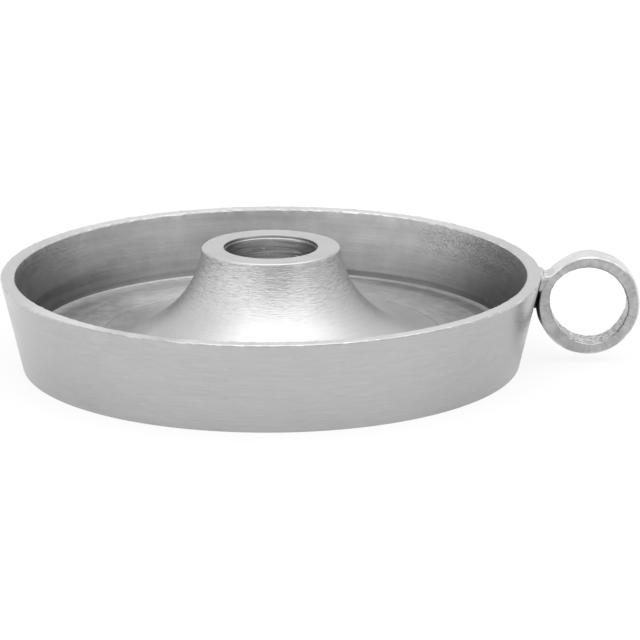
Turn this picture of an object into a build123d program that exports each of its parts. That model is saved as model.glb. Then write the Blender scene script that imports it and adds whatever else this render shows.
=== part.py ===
"""A chamberstick: a flared aluminium pan, a trumpet-shaped candle socket and a welded finger ring.

Millimetres. The pan stands on z = 0 with its axis on Z, and the finger ring is on the +X side.
"""

import math
import os

from build123d import *

os.makedirs("parts", exist_ok=True)

# Pan: a turned casting with a straight flared wall and a flat rim
rim_diameter = 130.0
base_diameter = 119.8
pan_height = 22.2
rim_width = 3.3
wall_foot_width = 3.7
floor_level = 6.5
floor_thickness = 3.4
foot_width = 4.2
corner_radius = 0.6
underside_radius = 1.5
rim_bevel = 0.3
base_rounding = 0.4

# Candle socket: a cored casting whose foot is let into the pan floor
socket_height = 22.0
lip_diameter = 33.1
flare_radius = 25.0
foot_edge = 1.0
candle_bore_diameter = 22.2
candle_bore_depth = 15.0
lead_in_step = 0.25
lead_in_depth = 0.85
lip_bevel = 0.25
cup_wall = 3.5
core_wall = 4.0
core_crown_width = 2.0

# Finger ring: a slice of tube with its bore across the pan's radius
ring_outer_diameter = 24.2
ring_inner_diameter = 18.7
ring_width = 7.4
ring_drop = 7.85
ring_gap = 0.62
ring_bevel = 0.35

# Weld bead that fills the wedge between the wall and the ring, up to the rim
bead_rise = 4.35
bead_span = 30.0
bead_foot = 4.0
bead_overhang = 0.4
bead_corner_radius = 0.4
bead_rounding = 0.3
bead_sag = 0.4
bead_root_share = 0.5

# Root run of the weld, a narrower fill in the gap below the bead
root_width = 3.8
root_crest = 12.0
root_foot = 17.5

# Fastening: an M4 pan head screw from below, with a flat and a split washer
thread_diameter = 4.0
screw_length = 8.0
screw_tip_bevel = 0.5
head_diameter = 8.0
head_height = 3.1
head_side_height = 1.5
drive_width = 1.1
drive_span = 4.4
drive_depth = 1.6
head_clearance = 1.2
washer_diameter = 9.0
washer_thickness = 0.8
lock_diameter = 7.6
lock_thickness = 0.9
lock_split = 0.7
lock_split_angle = 25.0
well_diameter = 15.0
spigot_diameter = 22.0
spigot_web = 2.5

# Clearances between the pieces
seat_clearance = 0.1
draw_gap = 0.2
screw_hole_clearance = 0.25
thread_clearance = 0.05
washer_clearance = 0.15
lock_clearance = 0.05

# Places that several pieces share
rim_radius = rim_diameter / 2
base_radius = base_diameter / 2
wall_slope = (rim_radius - base_radius) / pan_height
wall_angle = math.atan(wall_slope)
lip_level = floor_level + socket_height
seat_level = floor_level - foot_edge
lip_radius = lip_diameter / 2
flare_level = floor_level + flare_radius
foot_radius = lip_radius + math.sqrt(flare_radius**2 - (flare_level - lip_level) ** 2)
candle_bore_radius = candle_bore_diameter / 2
lead_in_radius = candle_bore_radius + lead_in_step
cup_level = lip_level - candle_bore_depth
thread_radius = thread_diameter / 2
tapped_radius = thread_radius + thread_clearance
head_level = head_clearance + head_height
lock_level = head_level + lock_thickness
well_level = lock_level + washer_thickness
spigot_level = well_level + spigot_web
spigot_radius = spigot_diameter / 2
ring_radius = ring_outer_diameter / 2
ring_bore_radius = ring_inner_diameter / 2
ring_wall = ring_radius - ring_bore_radius
ring_level = pan_height - ring_drop
ring_standoff = ring_radius + ring_gap


def wall_radius(level):
    """Outer radius of the pan's wall at a level."""
    return base_radius + wall_slope * level


def corner(section, place):
    """The corner of a section that lies nearest to a place, found afresh after each rounding."""
    return section.vertices().sort_by_distance(place)[0]


ring_reach = wall_radius(ring_level) + ring_standoff / math.cos(wall_angle)


# Pan
floor_edge_radius = wall_radius(floor_level) - wall_foot_width
seat_radius = foot_radius + seat_clearance
well_radius = well_diameter / 2
screw_hole_radius = thread_radius + screw_hole_clearance
underside_level = floor_level - floor_thickness
foot_inner_radius = base_radius - foot_width

with BuildPart() as pan:
    with BuildSketch(Plane.XZ) as pan_section:
        with BuildLine():
            Polyline(
                (base_radius, 0),
                (rim_radius, pan_height),
                (rim_radius - rim_width, pan_height),
                (floor_edge_radius, floor_level),
                (seat_radius, floor_level),
                (seat_radius, seat_level),
                (spigot_radius, seat_level),
                (spigot_radius, spigot_level),
                (screw_hole_radius, spigot_level),
                (screw_hole_radius, well_level),
                (well_radius, well_level),
                (well_radius, underside_level),
                (foot_inner_radius, underside_level),
                (foot_inner_radius, 0),
                close=True,
            )
        make_face()
        fillet(corner(pan_section, (floor_edge_radius, floor_level)), corner_radius)
        fillet(corner(pan_section, (foot_inner_radius, underside_level)), underside_radius)
        fillet(corner(pan_section, (base_radius, 0)), base_rounding)
        chamfer(corner(pan_section, (rim_radius, pan_height)), rim_bevel)
        chamfer(corner(pan_section, (rim_radius - rim_width, pan_height)), rim_bevel)
    revolve(axis=Axis.Z)
pan.part.label = "pan"
export_step(pan.part, "parts/pan.step")


# Candle socket
boss_radius = candle_bore_radius + cup_wall
boss_level = spigot_level + draw_gap
core_radius = flare_radius + core_wall
core_crown_radius = boss_radius + core_crown_width


def core_level(radius):
    """Height of the cored underside's arc at a radius."""
    return flare_level - math.sqrt(core_radius**2 - (foot_radius - radius) ** 2)


core_mouth_radius = foot_radius - math.sqrt(core_radius**2 - (flare_level - seat_level) ** 2)
core_crown_level = core_level(core_crown_radius)

with BuildPart() as candle_socket:
    with BuildSketch(Plane.XZ) as socket_section:
        with BuildLine():
            RadiusArc((foot_radius, floor_level), (lip_radius, lip_level), flare_radius)
            Polyline(
                (lip_radius, lip_level),
                (lead_in_radius, lip_level),
                (lead_in_radius, lip_level - lead_in_depth),
                (candle_bore_radius, lip_level - lead_in_depth),
                (candle_bore_radius, cup_level),
                (tapped_radius, cup_level),
                (tapped_radius, boss_level),
                (boss_radius, boss_level),
                (boss_radius, core_crown_level),
                (core_crown_radius, core_crown_level),
            )
            RadiusArc((core_mouth_radius, seat_level), (core_crown_radius, core_crown_level), core_radius)
            Polyline(
                (core_mouth_radius, seat_level),
                (foot_radius, seat_level),
                (foot_radius, floor_level),
            )
        make_face()
        chamfer(corner(socket_section, (lip_radius, lip_level)), lip_bevel)
    revolve(axis=Axis.Z)
candle_socket.part.label = "candle_socket"
export_step(candle_socket.part, "parts/candle_socket.step")


# Finger ring
ring_plane = Plane(origin=(ring_reach, 0, ring_level), x_dir=(1, 0, 0), z_dir=(0, -1, 0))

with BuildPart() as finger_ring:
    with BuildSketch(ring_plane):
        Circle(ring_radius)
        Circle(ring_bore_radius, mode=Mode.SUBTRACT)
    extrude(amount=ring_width / 2, both=True)
    chamfer(finger_ring.edges().filter_by(GeomType.CIRCLE), ring_bevel)
finger_ring.part.label = "finger_ring"
export_step(finger_ring.part, "parts/finger_ring.step")


# Ring weld, drawn from the point of the wall nearest to the ring: x out of the wall, y up along it
bead_half_width = ring_width / 2 + bead_overhang
bead_tuck = rim_width / 2
bead_root_radius = ring_radius - ring_wall * bead_root_share
wall_normal = (math.cos(wall_angle), 0, -math.sin(wall_angle))
bead_plane = Plane(
    origin=(
        ring_reach - ring_standoff * math.cos(wall_angle),
        bead_half_width,
        ring_level + ring_standoff * math.sin(wall_angle),
    ),
    x_dir=wall_normal,
    z_dir=(0, -1, 0),
)


def around_ring(radius, angle):
    """A point about the ring's centre, at an angle up from the line to the wall."""
    turn = math.radians(angle)
    return (ring_standoff - radius * math.cos(turn), radius * math.sin(turn))


bead_start = (-bead_tuck, bead_rise)
bead_crest = around_ring(ring_radius, bead_span)
bead_inner_crest = around_ring(bead_root_radius, bead_span)
bead_inner_middle = around_ring(bead_root_radius, (bead_span + bead_foot) / 2)
bead_inner_foot = around_ring(bead_root_radius, bead_foot)
root_inner_crest = around_ring(bead_root_radius, root_crest)
root_inner_middle = around_ring(bead_root_radius, (root_crest - root_foot) / 2)
root_inner_foot = around_ring(bead_root_radius, -root_foot)

with BuildPart() as ring_weld:
    with BuildSketch(bead_plane) as bead_section:
        with BuildLine():
            SagittaArc(bead_start, bead_crest, -bead_sag)
            Line(bead_crest, bead_inner_crest)
            ThreePointArc(bead_inner_crest, bead_inner_middle, bead_inner_foot)
            Polyline(bead_inner_foot, (-bead_tuck, bead_inner_foot[1]), bead_start)
        make_face()
        fillet(bead_section.vertices(), bead_corner_radius)
    extrude(amount=2 * bead_half_width)
    bead_ends = ring_weld.faces().filter_by(Axis.Y)
    fillet(bead_ends.edges(), bead_rounding)
    with BuildSketch(bead_plane.offset(bead_half_width - root_width / 2)):
        with BuildLine():
            ThreePointArc(root_inner_crest, root_inner_middle, root_inner_foot)
            Polyline(
                root_inner_foot,
                (-bead_tuck, root_inner_foot[1]),
                (-bead_tuck, root_inner_crest[1]),
                root_inner_crest,
            )
        make_face()
    extrude(amount=root_width)
    add(pan.part, mode=Mode.SUBTRACT)
    add(finger_ring.part, mode=Mode.SUBTRACT)
ring_weld.part.label = "ring_weld"
export_step(ring_weld.part, "parts/ring_weld.step")


# Flat washer
with BuildPart() as flat_washer:
    with BuildSketch(Plane.XY.offset(lock_level)):
        Circle(washer_diameter / 2)
        Circle(thread_radius + washer_clearance, mode=Mode.SUBTRACT)
    extrude(amount=washer_thickness)
flat_washer.part.label = "flat_washer"
export_step(flat_washer.part, "parts/flat_washer.step")


# Lock washer, drawn flat with its split cut at a slant
split_plane = Plane(
    origin=(lock_diameter / 2, 0, head_level + lock_thickness / 2), x_dir=(0, 1, 0), z_dir=(1, 0, 0)
)

with BuildPart() as lock_washer:
    with BuildSketch(Plane.XY.offset(head_level)):
        Circle(lock_diameter / 2)
        Circle(thread_radius + lock_clearance, mode=Mode.SUBTRACT)
    extrude(amount=lock_thickness)
    with BuildSketch(split_plane):
        Rectangle(lock_split, lock_diameter, rotation=lock_split_angle)
    extrude(amount=lock_diameter / 2, both=True, mode=Mode.SUBTRACT)
lock_washer.part.label = "lock_washer"
export_step(lock_washer.part, "parts/lock_washer.step")


# Socket screw, with its head downwards
head_radius = head_diameter / 2
screw_tip_level = head_level + screw_length
dome_rise = head_height - head_side_height
dome_radius = (head_radius**2 + dome_rise**2) / (2 * dome_rise)

with BuildPart() as socket_screw:
    with BuildSketch(Plane.XZ):
        with BuildLine():
            Polyline(
                (0, head_clearance),
                (0, screw_tip_level),
                (thread_radius - screw_tip_bevel, screw_tip_level),
                (thread_radius, screw_tip_level - screw_tip_bevel),
                (thread_radius, head_level),
                (head_radius, head_level),
                (head_radius, head_level - head_side_height),
            )
            RadiusArc((head_radius, head_level - head_side_height), (0, head_clearance), dome_radius)
        make_face()
    revolve(axis=Axis.Z)
    with BuildSketch(Plane.XY.offset(head_clearance)):
        Rectangle(drive_width, drive_span)
        Rectangle(drive_span, drive_width)
    extrude(amount=drive_depth, mode=Mode.SUBTRACT)
socket_screw.part.label = "socket_screw"
export_step(socket_screw.part, "parts/socket_screw.step")
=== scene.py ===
# %% [markdown]
# # A chamberstick in turned aluminium
# The object is a hand-held candle holder: a wide flared pan, a trumpet-shaped socket for the candle and a
# finger ring welded to the rim. The CAD model gives every size and place. This lesson dresses it: each
# casting is made again as a finer mesh with the small faults of hand work, and each surface gets the
# finish that its tool left. The first cell loads the CAD model as a fixed frame and keeps its box.

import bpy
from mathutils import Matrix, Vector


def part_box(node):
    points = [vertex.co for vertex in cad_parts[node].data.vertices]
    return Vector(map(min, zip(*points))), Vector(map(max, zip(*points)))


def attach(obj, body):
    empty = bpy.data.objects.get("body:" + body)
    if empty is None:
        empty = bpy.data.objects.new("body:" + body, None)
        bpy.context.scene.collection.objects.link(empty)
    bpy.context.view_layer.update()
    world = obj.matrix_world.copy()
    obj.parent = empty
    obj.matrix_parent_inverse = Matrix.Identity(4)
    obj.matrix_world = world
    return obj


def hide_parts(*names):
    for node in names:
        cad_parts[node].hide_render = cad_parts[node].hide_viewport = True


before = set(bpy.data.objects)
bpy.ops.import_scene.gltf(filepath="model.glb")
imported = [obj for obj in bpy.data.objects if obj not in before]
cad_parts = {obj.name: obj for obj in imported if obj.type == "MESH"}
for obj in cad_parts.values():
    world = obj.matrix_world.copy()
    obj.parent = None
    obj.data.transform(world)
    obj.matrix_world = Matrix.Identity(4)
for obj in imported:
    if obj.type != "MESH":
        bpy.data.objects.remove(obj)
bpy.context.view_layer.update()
print("nodes:", sorted(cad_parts))

# %% [markdown]
# ## Sizes
# Nothing here is measured twice. The levels and radii that the finishes need are read off the boxes of the
# CAD nodes, in metres. One value, MM, lets the rest of the lesson speak in millimetres, as a workshop does.

# %% Sizes read off the frame
import itertools
import math

import bmesh
import bpy
import numpy as np
from mathutils import Matrix, Vector

MM = 0.001
pan_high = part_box("pan")[1]
socket_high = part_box("candle_socket")[1]
ring_low, ring_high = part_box("finger_ring")
rim_level = pan_high.z
rim_radius = pan_high.y
lip_level = socket_high.z
foot_radius = socket_high.y
ring_centre = (ring_low + ring_high) / 2
ring_radius = (ring_high.z - ring_low.z) / 2
ring_half_width = (ring_high.y - ring_low.y) / 2
print(f"rim {rim_radius / MM:.2f} mm at {rim_level / MM:.2f} mm, lip at {lip_level / MM:.2f} mm")

# %% [markdown]
# ## Reading a turned section
# The pan, the socket and the ring are all round, so each is one section spun about an axis. The section is
# cut from the CAD node: a copy of its mesh is split by a half plane through the axis, and the cut edges are
# walked into one closed outline of (radius, height) pairs. The CAD mesh itself stays as it is. Spinning a
# clean section gives an even mesh, which a CAD tessellation is not, and even meshes shade and bend better.
# The ring's axis lies along Y, so its section is cut and spun lying down and then stood up again.

# %% Cut and walk a section
JOIN = 0.0005 * MM


def section_of(node, to_axis):
    """The closed outline of a round node, as an array of (radius, height), with its axis brought to Z."""
    cut = bmesh.new()
    cut.from_mesh(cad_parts[node].data)
    cut.transform(to_axis)
    bmesh.ops.remove_doubles(cut, verts=cut.verts, dist=JOIN)
    parts = cut.verts[:] + cut.edges[:] + cut.faces[:]
    found = bmesh.ops.bisect_plane(cut, geom=parts, dist=JOIN, plane_co=(0, 0, 0), plane_no=(0, 1, 0))
    links = {}
    for edge in found["geom_cut"]:
        if isinstance(edge, bmesh.types.BMEdge) and all(v.co.x > 0 for v in edge.verts):
            first, second = edge.verts
            links.setdefault(first, []).append(second)
            links.setdefault(second, []).append(first)
    start = max(links, key=lambda v: (v.co.z, v.co.x))
    walk = [start, links[start][0]]
    while walk[-1] is not start:
        ahead = [v for v in links[walk[-1]] if v is not walk[-2]]
        walk.append(ahead[0])
    outline = np.array([(v.co.x, v.co.z) for v in walk[:-1]])
    cut.free()
    return outline


upright = Matrix.Identity(4)
ring_to_axis = Matrix.Rotation(math.radians(90), 4, "X") @ Matrix.Translation(-ring_centre)
ring_back = ring_to_axis.inverted()
pan_section = section_of("pan", upright)
socket_section = section_of("candle_socket", upright)
ring_section = section_of("finger_ring", ring_to_axis)
NEARBY = 1 * MM
LEVEL_WITHIN = 0.02 * MM
near_foot = pan_section[(pan_section[:, 0] > foot_radius) & (pan_section[:, 0] < foot_radius + NEARBY)]
floor_level = near_foot[:, 1].max()
floor_radius = pan_section[np.abs(pan_section[:, 1] - floor_level) < LEVEL_WITHIN][:, 0].max()
base_radius = pan_section[pan_section[:, 1] < NEARBY][:, 0].max()
ring_bore_radius = ring_section[:, 0].min()
print(f"floor at {floor_level / MM:.2f} mm, base {base_radius / MM:.2f} mm")
print(f"ring bore {ring_bore_radius / MM:.2f} mm")

# %% [markdown]
# ## A worn outline
# A CAD section has perfect corners. On the bench each edge is broken with a file or worn by hands, and that
# thin round is what catches the light. So the outline is split at its corners, and each run between two
# corners is drawn again as a smooth curve. Its steps are even, but closer where it bends, so that a small
# fillet keeps its shape. Runs that nobody sees get coarser steps.

# %% Draw a run again
SPAN_POINTS = 8
TURN_PER_LENGTH = math.radians(8) / MM
LARGEST_TURN = math.radians(30)


def turns(outline):
    """How far the outline turns at each point, in radians."""
    before = outline - np.roll(outline, 1, axis=0)
    after = np.roll(outline, -1, axis=0) - outline
    cross = before[:, 0] * after[:, 1] - before[:, 1] * after[:, 0]
    return np.arctan2(cross, (before * after).sum(axis=1))


def along(points, places):
    """Points at given distances along a polyline."""
    lengths = np.r_[0, np.cumsum(np.linalg.norm(np.diff(points, axis=0), axis=1))]
    return np.c_[np.interp(places, lengths, points[:, 0]), np.interp(places, lengths, points[:, 1])]


def smooth_run(points):
    """A dense cubic curve through the points of one run, which keeps its long straight spans straight."""
    if len(points) < 3:
        return points
    chords = np.diff(points, axis=0)
    across = np.vstack([chords[:1], points[2:] - points[:-2], chords[-1:]])
    heading = across / np.linalg.norm(across, axis=1, keepdims=True)
    share = np.linspace(0, 1, SPAN_POINTS, endpoint=False)[:, None]
    spans = []
    for start, chord, leave, arrive in zip(points, chords, heading, heading[1:]):
        pull = (share - 2 * share**2 + share**3) * leave + (share**3 - share**2) * arrive
        spans.append(start + (3 * share**2 - 2 * share**3) * chord + np.linalg.norm(chord) * pull)
    return np.vstack(spans + [points[-1:]])


def even_places(run, first, last, step):
    """Distances along a run from first to last, a step apart and closer where it bends."""
    chords = np.diff(run, axis=0)
    lengths = np.linalg.norm(chords, axis=1)
    heading = np.unwrap(np.arctan2(chords[:, 1], chords[:, 0]))
    bends = np.r_[0, np.abs(np.diff(heading))]
    travelled = np.r_[0, np.cumsum(lengths)]
    turn_step = min(TURN_PER_LENGTH * step, LARGEST_TURN)
    measure = np.r_[0, np.cumsum(lengths / step + bends / turn_step)]
    start, end = np.interp([first, last], travelled, measure)
    return np.interp(np.linspace(start, end, 1 + math.ceil(end - start)), measure, travelled)


# %% [markdown]
# The runs are then joined again, with a small curve put in at each corner. The seam around the socket's foot
# stays sharp, because it was faced flush.

# %% Round the corners
CORNER_TURN = math.radians(18)
EDGE_ROUND = 0.12 * MM
SEAM_ROUND = 0.012 * MM
SEAM_WITHIN = (0.5 * MM, 1 * MM)
LARGEST_ROUND_SHARE = 0.3
CURVE_SHARES = (0.25, 0.5, 0.75)


def edge_round(corner):
    """How far from a corner its round begins."""
    off_seam = abs(corner[0] - foot_radius), abs(corner[1] - floor_level)
    at_seam = off_seam[0] < SEAM_WITHIN[0] and off_seam[1] < SEAM_WITHIN[1]
    return SEAM_ROUND if at_seam else EDGE_ROUND


def worn(outline, step_at):
    """The outline with steps that step_at gives for each run, and a small curve at each corner."""
    corners = np.flatnonzero(np.abs(turns(outline)) > CORNER_TURN)
    runs = []
    for start, end in zip(corners, np.r_[corners[1:], corners[0] + len(outline)]):
        runs.append(smooth_run(outline[np.arange(start, end + 1) % len(outline)]))
    trimmed = []
    for run in runs:
        length = np.linalg.norm(np.diff(run, axis=0), axis=1).sum()
        first = min(edge_round(run[0]), LARGEST_ROUND_SHARE * length)
        last = length - min(edge_round(run[-1]), LARGEST_ROUND_SHARE * length)
        trimmed.append(along(run, even_places(run, first, last, step_at(run.mean(axis=0)))))
    points = []
    for run, ahead, corner in zip(trimmed, trimmed[1:] + trimmed[:1], [r[-1] for r in runs]):
        points.append(run)
        for share in CURVE_SHARES:
            back = run[-1] * (1 - share) ** 2
            points.append((back + 2 * corner * share * (1 - share) + ahead[0] * share**2)[None])
    return np.vstack(points)


# %% [markdown]
# ## Spinning
# The worn outline is spun into a mesh. A hand-finished casting is never quite round or quite flat, so the
# spin takes a wobble: a few slow waves round the axis, from a seeded generator, that move each point by
# hundredths of a millimetre. The waves are whole numbers of turns, so the mesh meets itself with no seam.

# %% Spin an outline into a mesh
def waves(seed, counts, drift):
    """A function of angle and height that sums waves round the axis; it runs from about -1 to 1."""
    draw = np.random.default_rng(seed)
    phases = draw.uniform(0, math.tau, len(counts))
    drifts = draw.uniform(-drift, drift, len(counts))
    sizes = draw.uniform(0.5, 1.0, len(counts)) / math.sqrt(len(counts))

    def height(angle, level):
        total = np.zeros(np.broadcast(angle, level).shape)
        for count, phase, slant, size in zip(counts, phases, drifts, sizes):
            total = total + size * np.cos(count * angle + phase + slant * level / MM)
        return total

    return height


def outward(ahead, area):
    """Unit normals that point out of the metal, from steps along a closed outline."""
    normal = np.sign(area) * np.c_[ahead[:, 1], -ahead[:, 0]]
    return normal / np.linalg.norm(normal, axis=1, keepdims=True)


def spun(name, outline, count, shift, back, zone_of, finishes, stretch=None):
    """A closed mesh of revolution whose strips each have the finish of their zone.

    shift moves each point along its normal, and stretch moves it along its radius."""
    following = np.roll(outline, -1, axis=0)
    area = (outline[:, 0] * following[:, 1] - following[:, 0] * outline[:, 1]).sum()
    normal = outward(following - np.roll(outline, 1, axis=0), area)
    angle = np.linspace(0, math.tau, count, endpoint=False)
    moved = shift(angle[:, None], outline, normal)
    radius = outline[:, 0] + moved * normal[:, 0]
    if stretch:
        radius = radius + stretch(angle[:, None], outline)
    height = outline[:, 1] + moved * normal[:, 1]
    points = np.stack([radius * np.cos(angle)[:, None], radius * np.sin(angle)[:, None], height], axis=2)
    rows = len(outline)
    near = np.arange(count)[:, None] * rows
    far = (np.arange(count)[:, None] + 1) % count * rows
    low = np.arange(rows)[None]
    high = (low + 1) % rows
    quads = np.stack([near + low, far + low, far + high, near + high], axis=2)
    if area < 0:
        quads = quads[:, :, ::-1]
    mesh = bpy.data.meshes.new(name)
    mesh.from_pydata(points.reshape(-1, 3).tolist(), [], quads.reshape(-1, 4).tolist())
    mesh.transform(back)
    names = list(finishes)
    for zone in names:
        mesh.materials.append(finishes[zone])
    facing = outward(following - outline, area)
    zones = [zone_of(spot, face) for spot, face in zip((outline + following) / 2, facing)]
    mesh.polygons.foreach_set("material_index", np.tile([names.index(zone) for zone in zones], count))
    mesh.shade_smooth()
    piece = bpy.data.objects.new(name, mesh)
    bpy.context.scene.collection.objects.link(piece)
    print(name, "faces:", len(mesh.polygons), {zone: zones.count(zone) for zone in names})
    return piece


# %% [markdown]
# ## Shader sums in Python
# A finish is mostly arithmetic: a streak here, a little less shine there. A small class wraps a node's
# output so that the arithmetic can be written as Python sums, and each operator adds one Math node. Every
# other node comes from one method that takes its type, its settings and what goes into its sockets.

# %% A wire and a sheet of nodes
class Wire:
    """A node's output that can stand in a Python sum."""

    def __init__(self, sheet, socket):
        self.sheet = sheet
        self.socket = socket

    def math(self, operation, first, second=0.0):
        return self.sheet.node("ShaderNodeMath", {"operation": operation}, {0: first, 1: second})

    def __add__(self, other):
        return self.math("ADD", self, other)

    def __radd__(self, other):
        return self.math("ADD", other, self)

    def __sub__(self, other):
        return self.math("SUBTRACT", self, other)

    def __rsub__(self, other):
        return self.math("SUBTRACT", other, self)

    def __mul__(self, other):
        return self.math("MULTIPLY", self, other)

    def __rmul__(self, other):
        return self.math("MULTIPLY", other, self)

    def __truediv__(self, other):
        return self.math("DIVIDE", self, other)

    def __pow__(self, other):
        return self.math("POWER", self, other)

    def __abs__(self):
        return self.math("ABSOLUTE", self)


class Sheet:
    """One node tree, with one method that adds any node."""

    def __init__(self, tree):
        self.tree = tree
        tree.nodes.clear()

    def node(self, kind, settings=None, inputs=None, output=0):
        made = self.tree.nodes.new(kind)
        for name, value in (settings or {}).items():
            setattr(made, name, value)
        for key, value in (inputs or {}).items():
            if isinstance(value, Wire):
                self.tree.links.new(value.socket, made.inputs[key])
            else:
                made.inputs[key].default_value = value
        return Wire(self, made.outputs[output]) if made.outputs else made

    def parts(self, vector):
        """The three numbers of a vector."""
        return [self.node("ShaderNodeSeparateXYZ", inputs={0: vector}, output=i) for i in range(3)]

    def between(self, value, low, high, from_value=0.0, to_value=1.0):
        """A smooth step of value from low to high."""
        given = {"Value": value, 1: low, 2: high, 3: from_value, 4: to_value}
        return self.node("ShaderNodeMapRange", {"interpolation_type": "SMOOTHSTEP"}, given)

    def grey(self, value):
        return self.node("ShaderNodeCombineColor", inputs={0: value, 1: value, 2: value})


def new_sheet(name):
    material = bpy.data.materials.new(name)
    material.use_nodes = True
    return material, Sheet(material.node_tree)


# %% [markdown]
# ## Streaks and grain
# A lathe tool and an abrasive pad both leave streaks that run round the axis: long, very thin and never
# quite parallel. Noise makes them if it is stretched along the circle. Taking the angle as a number would
# leave a seam where it jumps, so the noise is four-dimensional instead: the cosine and sine of the angle,
# the distance from the axis and the height. The first two are stretched, the last two are fine. About the pan
# a cosine of 1 is the right, where the ring is, and a sine of 1 the back. About the ring a cosine of 1 is the
# far side and a sine of 1 the top. Grain is plain noise of a given size, for cast skin and slow clouds. Both
# are centred on nought.

# %% Two kinds of noise
AXES = {"pan": (Vector((0, 0, 0)), rim_radius), "ring": (ring_centre, ring_radius)}


def around(sheet, axis):
    """Cosine, sine, distance and height of a point about the pan's or the ring's axis."""
    centre = AXES[axis][0]
    x, y, z = sheet.parts(sheet.node("ShaderNodeTexCoord", output="Object"))
    if axis == "ring":
        x, y, z = x - centre.x, z - centre.z, y - centre.y
    reach = (x * x + y * y) ** 0.5
    return x / reach, y / reach, reach, z


def streaks(sheet, axis, length, width, seed, sway=0.0, detail=2.0):
    """Noise drawn out round an axis into streaks of a length and width in metres."""
    cosine, sine, reach, height = around(sheet, axis)
    turn = AXES[axis][1] / length
    across = (reach + sway) / width
    flow = sheet.node("ShaderNodeCombineXYZ", inputs={0: cosine * turn, 1: sine * turn, 2: across})
    given = {"Vector": flow, "W": (height + sway) / width + seed, "Scale": 1.0, "Detail": detail}
    return sheet.node("ShaderNodeTexNoise", {"noise_dimensions": "4D"}, given) - 0.5


def grain(sheet, size, seed, detail=3.0):
    """Even noise of a grain size in metres."""
    spot = sheet.node("ShaderNodeTexCoord", output="Object")
    given = {"Vector": spot, "W": seed, "Scale": 1 / size, "Detail": detail}
    return sheet.node("ShaderNodeTexNoise", {"noise_dimensions": "4D"}, given) - 0.5


# %% [markdown]
# ## One shader for all the metal
# Bare aluminium is the same metal everywhere; only its tone, its roughness and its relief change. The
# relief is a height in metres that a Bump node turns into a normal. Brushing round the axis spreads a
# highlight across the brush lines, so the anisotropy is turned a quarter: both are constants on the shader,
# whose own direction runs round the piece's Z axis. A torn surface gives back less light at a glancing angle
# than a smooth one, so a second shader with a dark edge tint is mixed in where the metal is torn.

# %% Close a sheet with the metal shader
TORN_TINT = (0.5, 0.5, 0.5, 1)


def metal(sheet, material, tone, roughness, relief, anisotropic=0.0, torn=None):
    bump = sheet.node("ShaderNodeBump", inputs={"Height": relief, "Distance": 1.0, "Strength": 1.0})
    given = {"Base Color": sheet.grey(tone), "Metallic": 1.0, "Roughness": roughness, "Normal": bump}
    given.update({"Anisotropic": anisotropic, "Anisotropic Rotation": 0.25})
    shader = sheet.node("ShaderNodeBsdfPrincipled", inputs=given)
    if torn:
        dark_edged = sheet.node("ShaderNodeBsdfPrincipled", inputs={**given, "Specular Tint": TORN_TINT})
        shader = sheet.node("ShaderNodeMixShader", inputs={0: torn, 1: shader, 2: dark_edged})
    sheet.node("ShaderNodeOutputMaterial", inputs={"Surface": shader})
    print("finish:", material.name, "nodes:", len(sheet.tree.nodes))
    return material


# %% [markdown]
# ## Faced surfaces
# The rim, the lip and the floor were faced on a lathe: fine rings, little else. The rings could be cut into
# the mesh, but they are far finer than its faces, so they are streaks of noise in the tone, the gloss and the
# relief. What sets one faced surface apart from another is where it was rubbed or dirtied, and where light
# and shade are painted on it, so the finish takes two functions of place: one for what is brighter than the
# rest, one for what is duller. On the rim, the two edges are burnished in broken lengths that are painted
# brighter as glints, and the top has a painted highlight at the back and at the front, most towards the left.
# The bevels at the front and the back are painted duller, as shade.

# %% The faced finish, and the rim
FACED_LENGTH = 14 * MM
FACED_CLOUD = 3 * MM
FINE_RINGS = (0.14 * MM, 0.01 * MM)
# Burnished edges and painted highlights on the rim take this tone and roughness.
BURNISH_AND_HIGHLIGHT_TONE = 0.72
BURNISH_ROUGHNESS = 0.30
BURNISH_DASH = (2.5 * MM, 0.8 * MM)
RIM_WIDTH = 3.3 * MM
RIM_EDGE = (RIM_WIDTH / 2 - 0.45 * MM, RIM_WIDTH / 2 - 0.25 * MM)
BEVEL = (rim_level - 0.14 * MM, rim_level - 0.04 * MM)


def faced(name, rings_given, tone, roughness, bright_of=None, dull_of=None):
    material, sheet = new_sheet(name)
    ring_width, ring_depth = rings_given
    rings = streaks(sheet, "pan", FACED_LENGTH, ring_width, 1.0)
    cloud = grain(sheet, FACED_CLOUD, 3.0)
    grey = tone * (1 + 0.25 * rings + 0.25 * cloud)
    rough = roughness + 0.3 * rings + 0.2 * cloud
    if dull_of:
        grey = grey * (1 - dull_of(sheet))
    if bright_of:
        bright, bright_tone, bright_roughness = bright_of(sheet)
        grey = grey + (bright_tone - tone) * bright
        rough = rough + (bright_roughness - roughness) * bright
    relief = ring_depth * rings + 4 * ring_depth * cloud
    return metal(sheet, material, grey, rough, relief, 0.5)


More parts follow.
